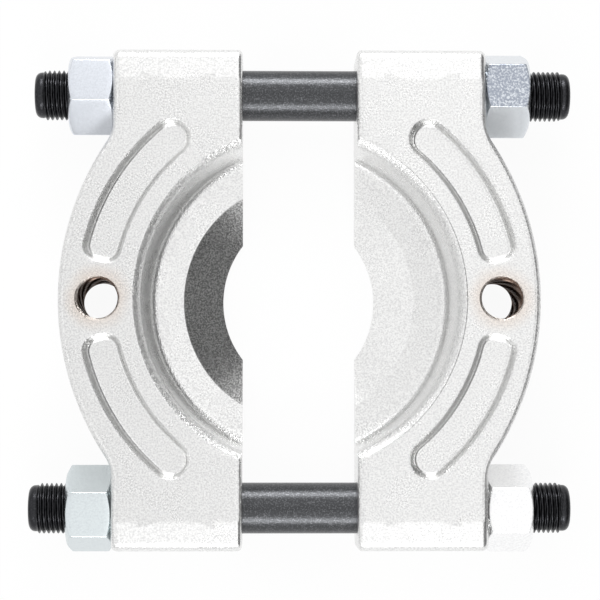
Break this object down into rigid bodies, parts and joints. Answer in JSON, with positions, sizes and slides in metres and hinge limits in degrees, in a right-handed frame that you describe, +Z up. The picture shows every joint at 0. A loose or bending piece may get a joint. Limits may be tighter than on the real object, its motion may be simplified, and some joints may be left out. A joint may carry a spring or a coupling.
{
  "type": "bearing separator",
  "caption": "Bearing separator: forged steel jaws with a stepped, bevelled round seat slide together on black threaded studs and are drawn in by hexagon nuts.",
  "frame": {"origin": "on the surface it lies on, midway between the jaws and midway between the studs", "axes": "+X along the studs towards the right jaw, +Y towards the rear stud, +Z up out of the seat's open side"},
  "size_m": [0.171, 0.1587, 0.028],
  "materials": {
    "plated_forging": "shot-blasted forging with a thin satin bright plating",
    "black_oxide_stud": "black oxide on turned bar with rolled threads, slightly oily",
    "zinc_nut": "clear blue-white zinc plating"
  },
  "bodies": {
    "studs": {"stud_rear": "black_oxide_stud", "stud_front": "black_oxide_stud"},
    "jaw_left": {"jaw_left": "plated_forging"},
    "jaw_right": {"jaw_right": "plated_forging"},
    "nut_rear_left": {"nut_rear_left": "zinc_nut"},
    "nut_front_left": {"nut_front_left": "zinc_nut"},
    "nut_rear_right": {"nut_rear_right": "zinc_nut"},
    "nut_front_right": {"nut_front_right": "zinc_nut"}
  },
  "joints": [
    {"name": "left_jaw_slide", "type": "slide", "parent": "studs", "child": "jaw_left", "axis": [1, 0, 0], "range_m": [-0.011, 0.0179]},
    {"name": "right_jaw_slide", "type": "slide", "parent": "studs", "child": "jaw_right", "axis": [-1, 0, 0], "range_m": [-0.011, 0.0179]},
    {"name": "rear_left_nut_turn", "type": "hinge", "parent": "jaw_left", "child": "nut_rear_left", "pos_m": [-0.06569, 0.06556, 0.014], "axis": [1, 0, 0], "range_deg": [-2650, 4310]},
    {"name": "front_left_nut_turn", "type": "hinge", "parent": "jaw_left", "child": "nut_front_left", "pos_m": [-0.06569, -0.06556, 0.014], "axis": [1, 0, 0], "range_deg": [-2650, 4310]},
    {"name": "rear_right_nut_turn", "type": "hinge", "parent": "jaw_right", "child": "nut_rear_right", "pos_m": [0.06569, 0.06556, 0.014], "axis": [-1, 0, 0], "range_deg": [-2650, 4310]},
    {"name": "front_right_nut_turn", "type": "hinge", "parent": "jaw_right", "child": "nut_front_right", "pos_m": [0.06569, -0.06556, 0.014], "axis": [-1, 0, 0], "range_deg": [-2650, 4310]}
  ],
  "couplings": [
    {"joint": "rear_left_nut_turn", "follows": "left_jaw_slide", "rad_per_m": 4188.8},
    {"joint": "front_left_nut_turn", "follows": "left_jaw_slide", "rad_per_m": 4188.8},
    {"joint": "rear_right_nut_turn", "follows": "right_jaw_slide", "rad_per_m": 4188.8},
    {"joint": "front_right_nut_turn", "follows": "right_jaw_slide", "rad_per_m": 4188.8}
  ]
}
